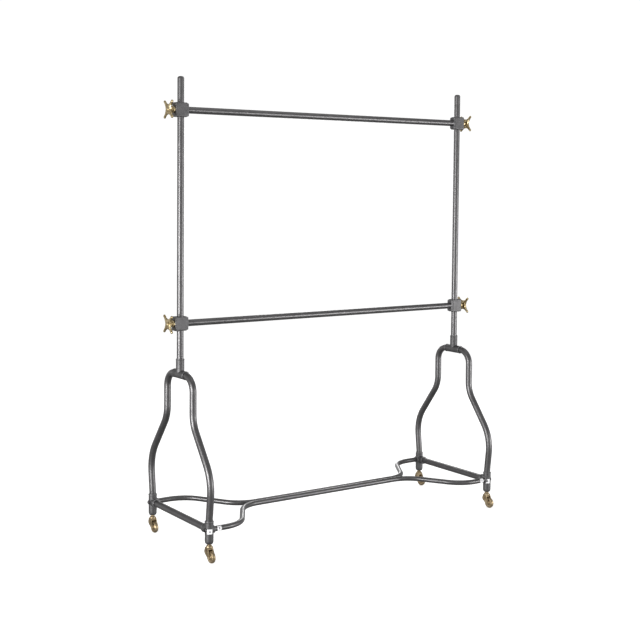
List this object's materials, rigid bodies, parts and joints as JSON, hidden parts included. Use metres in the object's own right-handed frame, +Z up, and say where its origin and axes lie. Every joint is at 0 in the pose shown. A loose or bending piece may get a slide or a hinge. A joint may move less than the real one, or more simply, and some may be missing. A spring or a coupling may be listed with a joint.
{
  "type": "garment rack",
  "caption": "Straight rolling garment rack of round pipe: two necked end frames, two hanging bars clamped to the uprights by cross handles, and swivel casters.",
  "frame": {"origin": "on the floor, under the middle of the rack", "axes": "+X along the hanging bars, -Y towards the front, +Z up"},
  "size_m": [1.574, 0.53, 1.86],
  "materials": {
    "pipe_steel": "raw dark steel, semi-gloss",
    "cast_steel": "cast, fine grain, satin",
    "black_steel": "black oxide",
    "brass": "antique, worn bright on the edges",
    "aged_brass": "dark aged"
  },
  "bodies": {
    "frame": {"left_top_tee": "cast_steel", "left_bottom_rail": "pipe_steel", "left_upright": "pipe_steel", "left_upright_cap": "pipe_steel", "left_front_leg": "pipe_steel", "left_front_foot": "cast_steel", "left_front_stretcher_bolt": "black_steel", "left_front_caster_stem": "aged_brass", "left_rear_leg": "pipe_steel", "left_rear_foot": "cast_steel", "left_rear_stretcher_bolt": "black_steel", "left_rear_caster_stem": "aged_brass", "right_top_tee": "cast_steel", "right_bottom_rail": "pipe_steel", "right_upright": "pipe_steel", "right_upright_cap": "pipe_steel", "right_front_leg": "pipe_steel", "right_front_foot": "cast_steel", "right_front_stretcher_bolt": "black_steel", "right_front_caster_stem": "aged_brass", "right_rear_leg": "pipe_steel", "right_rear_foot": "cast_steel", "right_rear_stretcher_bolt": "black_steel", "right_rear_caster_stem": "aged_brass", "front_stretcher": "pipe_steel", "rear_stretcher": "pipe_steel"},
    "upper_bar": {"upper_crossbar": "pipe_steel", "upper_left_clamp_block": "cast_steel", "upper_left_bonnet": "brass", "upper_right_clamp_block": "cast_steel", "upper_right_bonnet": "brass"},
    "upper_left_pad": {"upper_left_thrust_pad": "brass"},
    "upper_left_handle": {"upper_left_spindle": "brass", "upper_left_cross_handle": "brass"},
    "upper_right_pad": {"upper_right_thrust_pad": "brass"},
    "upper_right_handle": {"upper_right_spindle": "brass", "upper_right_cross_handle": "brass"},
    "lower_bar": {"lower_crossbar": "pipe_steel", "lower_left_clamp_block": "cast_steel", "lower_left_bonnet": "brass", "lower_right_clamp_block": "cast_steel", "lower_right_bonnet": "brass"},
    "lower_left_pad": {"lower_left_thrust_pad": "brass"},
    "lower_left_handle": {"lower_left_spindle": "brass", "lower_left_cross_handle": "brass"},
    "lower_right_pad": {"lower_right_thrust_pad": "brass"},
    "lower_right_handle": {"lower_right_spindle": "brass", "lower_right_cross_handle": "brass"},
    "left_front_fork": {"left_front_caster_fork": "aged_brass", "left_front_caster_axle": "aged_brass"},
    "left_front_wheel": {"left_front_caster_wheel": "aged_brass"},
    "left_rear_fork": {"left_rear_caster_fork": "aged_brass", "left_rear_caster_axle": "aged_brass"},
    "left_rear_wheel": {"left_rear_caster_wheel": "aged_brass"},
    "right_front_fork": {"right_front_caster_fork": "aged_brass", "right_front_caster_axle": "aged_brass"},
    "right_front_wheel": {"right_front_caster_wheel": "aged_brass"},
    "right_rear_fork": {"right_rear_caster_fork": "aged_brass", "right_rear_caster_axle": "aged_brass"},
    "right_rear_wheel": {"right_rear_caster_wheel": "aged_brass"}
  },
  "joints": [
    {"name": "upper_bar_slide", "type": "slide", "parent": "frame", "child": "upper_bar", "axis": [0, 0, 1], "range_m": [-0.76, 0.09]},
    {"name": "upper_left_pad_travel", "type": "slide", "parent": "upper_bar", "child": "upper_left_pad", "axis": [-1, 0, 0], "range_m": [0, 0.00175]},
    {"name": "upper_left_handle_turn", "type": "hinge", "parent": "upper_left_pad", "child": "upper_left_handle", "pos_m": [-0.72, 0, 1.729], "axis": [-1, 0, 0], "range_deg": [0, 360]},
    {"name": "upper_right_pad_travel", "type": "slide", "parent": "upper_bar", "child": "upper_right_pad", "axis": [1, 0, 0], "range_m": [0, 0.00175]},
    {"name": "upper_right_handle_turn", "type": "hinge", "parent": "upper_right_pad", "child": "upper_right_handle", "pos_m": [0.72, 0, 1.729], "axis": [1, 0, 0], "range_deg": [0, 360]},
    {"name": "lower_bar_slide", "type": "slide", "parent": "frame", "child": "lower_bar", "axis": [0, 0, 1], "range_m": [-0.109, 0.76]},
    {"name": "lower_left_pad_travel", "type": "slide", "parent": "lower_bar", "child": "lower_left_pad", "axis": [-1, 0, 0], "range_m": [0, 0.00175]},
    {"name": "lower_left_handle_turn", "type": "hinge", "parent": "lower_left_pad", "child": "lower_left_handle", "pos_m": [-0.72, 0, 0.891], "axis": [-1, 0, 0], "range_deg": [0, 360]},
    {"name": "lower_right_pad_travel", "type": "slide", "parent": "lower_bar", "child": "lower_right_pad", "axis": [1, 0, 0], "range_m": [0, 0.00175]},
    {"name": "lower_right_handle_turn", "type": "hinge", "parent": "lower_right_pad", "child": "lower_right_handle", "pos_m": [0.72, 0, 0.891], "axis": [1, 0, 0], "range_deg": [0, 360]},
    {"name": "left_front_swivel", "type": "hinge", "parent": "frame", "child": "left_front_fork", "pos_m": [-0.72, -0.2333, 0.06], "axis": [0, 0, 1], "continuous": true},
    {"name": "left_front_wheel_spin", "type": "hinge", "parent": "left_front_fork", "child": "left_front_wheel", "pos_m": [-0.72, -0.2503, 0.02305], "axis": [1, 0, 0], "continuous": true},
    {"name": "left_rear_swivel", "type": "hinge", "parent": "frame", "child": "left_rear_fork", "pos_m": [-0.72, 0.2333, 0.06], "axis": [0, 0, 1], "continuous": true},
    {"name": "left_rear_wheel_spin", "type": "hinge", "parent": "left_rear_fork", "child": "left_rear_wheel", "pos_m": [-0.72, 0.2163, 0.02305], "axis": [1, 0, 0], "continuous": true},
    {"name": "right_front_swivel", "type": "hinge", "parent": "frame", "child": "right_front_fork", "pos_m": [0.72, -0.2333, 0.06], "axis": [0, 0, 1], "continuous": true},
    {"name": "right_front_wheel_spin", "type": "hinge", "parent": "right_front_fork", "child": "right_front_wheel", "pos_m": [0.72, -0.2503, 0.02305], "axis": [1, 0, 0], "continuous": true},
    {"name": "right_rear_swivel", "type": "hinge", "parent": "frame", "child": "right_rear_fork", "pos_m": [0.72, 0.2333, 0.06], "axis": [0, 0, 1], "continuous": true},
    {"name": "right_rear_wheel_spin", "type": "hinge", "parent": "right_rear_fork", "child": "right_rear_wheel", "pos_m": [0.72, 0.2163, 0.02305], "axis": [1, 0, 0], "continuous": true}
  ],
  "couplings": [
    {"joint": "upper_left_handle_turn", "follows": "upper_left_pad_travel", "rad_per_m": 3590.4},
    {"joint": "upper_right_handle_turn", "follows": "upper_right_pad_travel", "rad_per_m": 3590.4},
    {"joint": "lower_left_handle_turn", "follows": "lower_left_pad_travel", "rad_per_m": 3590.4},
    {"joint": "lower_right_handle_turn", "follows": "lower_right_pad_travel", "rad_per_m": 3590.4}
  ]
}
